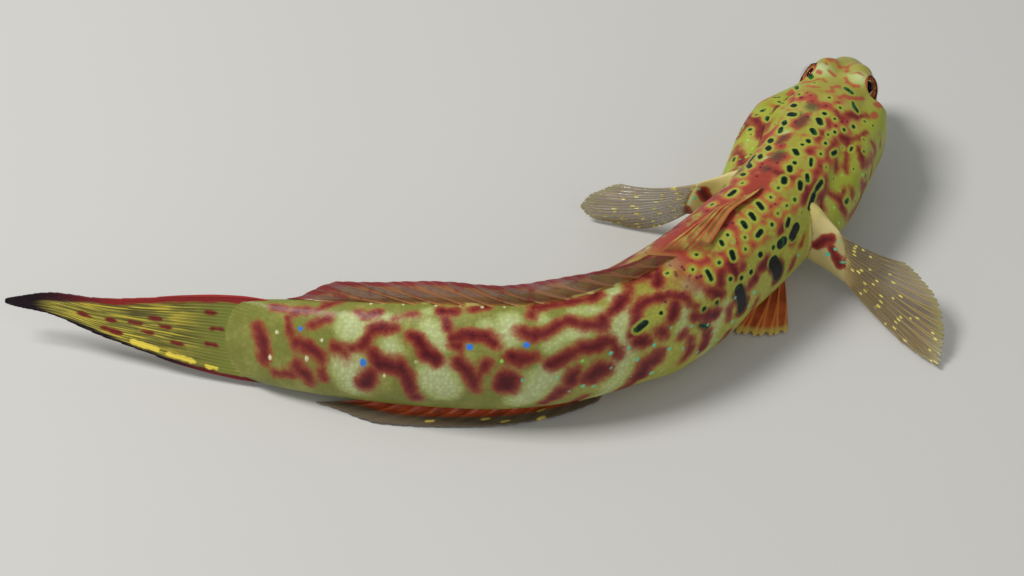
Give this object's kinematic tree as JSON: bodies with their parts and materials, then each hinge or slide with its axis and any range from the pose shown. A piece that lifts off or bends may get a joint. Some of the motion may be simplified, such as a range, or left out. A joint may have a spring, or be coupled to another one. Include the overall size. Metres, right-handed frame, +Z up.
{
  "type": "arabian shrimpgoby, life-size model",
  "caption": "Slender bottom-living goby lying in a curve on its belly, with spread pectoral fins, low dorsal fins and a long pointed tail fin.",
  "frame": {"origin": "middle of the whole fish's outline on the floor that it lies on", "axes": "+X from the tail towards the head along the longest extent, +Z up from the floor, and the head turns towards +Y"},
  "size_m": [0.1052, 0.0536, 0.0166],
  "materials": {
    "skin": "wet, lime green with maroon, orange and black markings and blue-green spots",
    "eye": "clear and glossy over an orange-red iris and a black pupil",
    "pale_skin": "cream with maroon blotches and pale iridescent spots",
    "clear_web": "see-through smoky brown with fine rays and yellow dashes",
    "orange_web": "orange-red rays with gold tips",
    "tail_web": "olive yellow with gold rays, maroon spots and a dark edge"
  },
  "bodies": {
    "root": {"head": "skin", "gill_cover_left": "skin", "gill_cover_right": "skin", "trunk_front": "skin", "trunk_rear": "skin", "tail_stem": "skin", "eye_left": "eye", "eye_right": "eye", "pectoral_base_left": "pale_skin", "pectoral_base_right": "pale_skin", "pectoral_fin_left": "clear_web", "pectoral_fin_right": "clear_web", "dorsal_fin_second": "clear_web", "dorsal_fin_first": "orange_web", "pelvic_fin": "orange_web", "anal_fin": "orange_web", "caudal_fin": "tail_web"}
  },
  "joints": []
}
